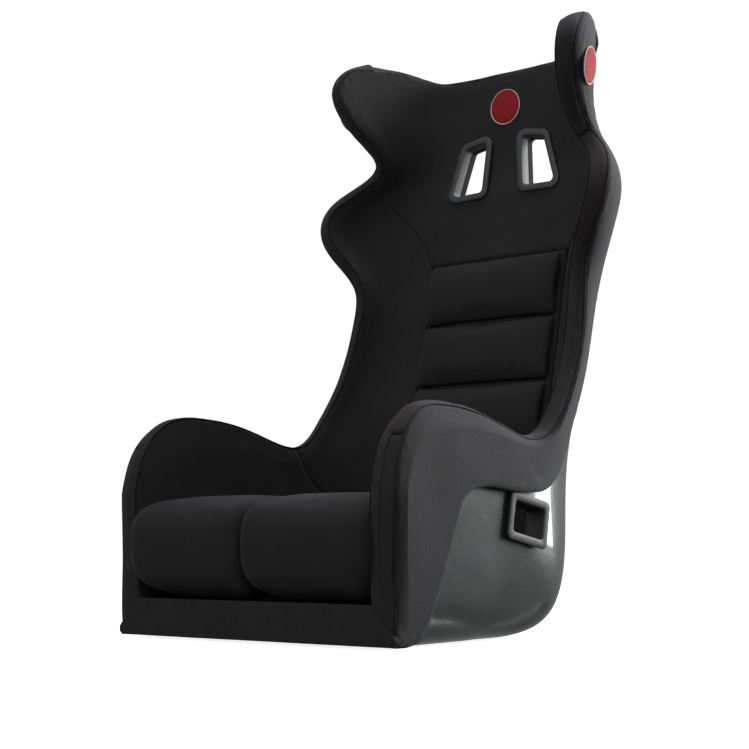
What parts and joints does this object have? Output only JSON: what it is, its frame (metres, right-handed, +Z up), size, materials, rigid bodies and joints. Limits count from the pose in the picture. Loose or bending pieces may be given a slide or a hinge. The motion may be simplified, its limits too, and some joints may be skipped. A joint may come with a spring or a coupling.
{
  "type": "racing seat",
  "caption": "Fixed-back bucket racing seat with head wings, padded side and thigh bolsters, belt slots and removable seat and back cushions.",
  "frame": {"origin": "centre of the four threaded inserts in the underside, on the plane the seat rests on", "axes": "+X to the sitter's left, -Y to the front of the seat, +Z up"},
  "size_m": [0.5754, 0.648, 0.946],
  "materials": {
    "gelcoat_shell": "glossy dark grey gelcoat over glass fibre",
    "foam": "open-cell polyurethane foam",
    "cover_fabric": "black knitted velour",
    "cushion_fabric": "black knitted velour over foam",
    "grip_fabric": "brown-black hard-wearing patch fabric",
    "grey_bezel": "satin moulded grey plastic",
    "black_bezel": "satin moulded black plastic",
    "steel_insert": "zinc-plated steel",
    "hook_tape": "black hook-and-loop tape",
    "red_badge": "plain red embroidered disc"
  },
  "bodies": {
    "seat": {"shell": "gelcoat_shell", "threaded_inserts": "steel_insert", "head_foam": "foam", "back_foam": "foam", "side_foam_left": "foam", "side_foam_right": "foam", "thigh_foam_left": "foam", "thigh_foam_right": "foam", "seat_base_foam": "foam", "head_cover": "cover_fabric", "back_cover": "cover_fabric", "side_cover_left": "cover_fabric", "side_cover_right": "cover_fabric", "thigh_cover_left": "cover_fabric", "thigh_cover_right": "cover_fabric", "seat_base_cover": "cover_fabric", "head_top_rim": "cover_fabric", "head_rim_left": "cover_fabric", "head_rim_right": "cover_fabric", "shoulder_rim_left": "grip_fabric", "shoulder_rim_right": "grip_fabric", "waist_rim_left": "cover_fabric", "waist_rim_right": "cover_fabric", "thigh_rim_left": "grip_fabric", "thigh_rim_right": "grip_fabric", "bolster_front_left": "cover_fabric", "bolster_front_right": "cover_fabric", "front_border": "cover_fabric", "wing_cover_left": "cover_fabric", "wing_cover_right": "cover_fabric", "hip_cover_left": "cover_fabric", "hip_cover_right": "cover_fabric", "shoulder_bezel_left": "grey_bezel", "shoulder_bezel_right": "grey_bezel", "shoulder_sleeve_left": "grey_bezel", "shoulder_sleeve_right": "grey_bezel", "lap_bezel_left": "black_bezel", "lap_bezel_right": "black_bezel", "seat_hook_tapes": "hook_tape", "back_hook_tapes": "hook_tape", "head_badge": "red_badge", "wing_badge_left": "red_badge", "wing_badge_right": "red_badge"},
    "left_cushion": {"seat_cushion_left": "cushion_fabric"},
    "right_cushion": {"seat_cushion_right": "cushion_fabric"},
    "lumbar_cushion": {"back_cushion": "cushion_fabric"}
  },
  "joints": [
    {"name": "left_cushion_pull_off", "type": "slide", "parent": "seat", "child": "left_cushion", "axis": [0, -0.8, 0.6], "range_m": [0, 0.12]},
    {"name": "right_cushion_pull_off", "type": "slide", "parent": "seat", "child": "right_cushion", "axis": [0, -0.8, 0.6], "range_m": [0, 0.12]},
    {"name": "back_cushion_pull_off", "type": "slide", "parent": "seat", "child": "lumbar_cushion", "axis": [0, -0.9744, 0.225], "range_m": [0, 0.08]}
  ]
}
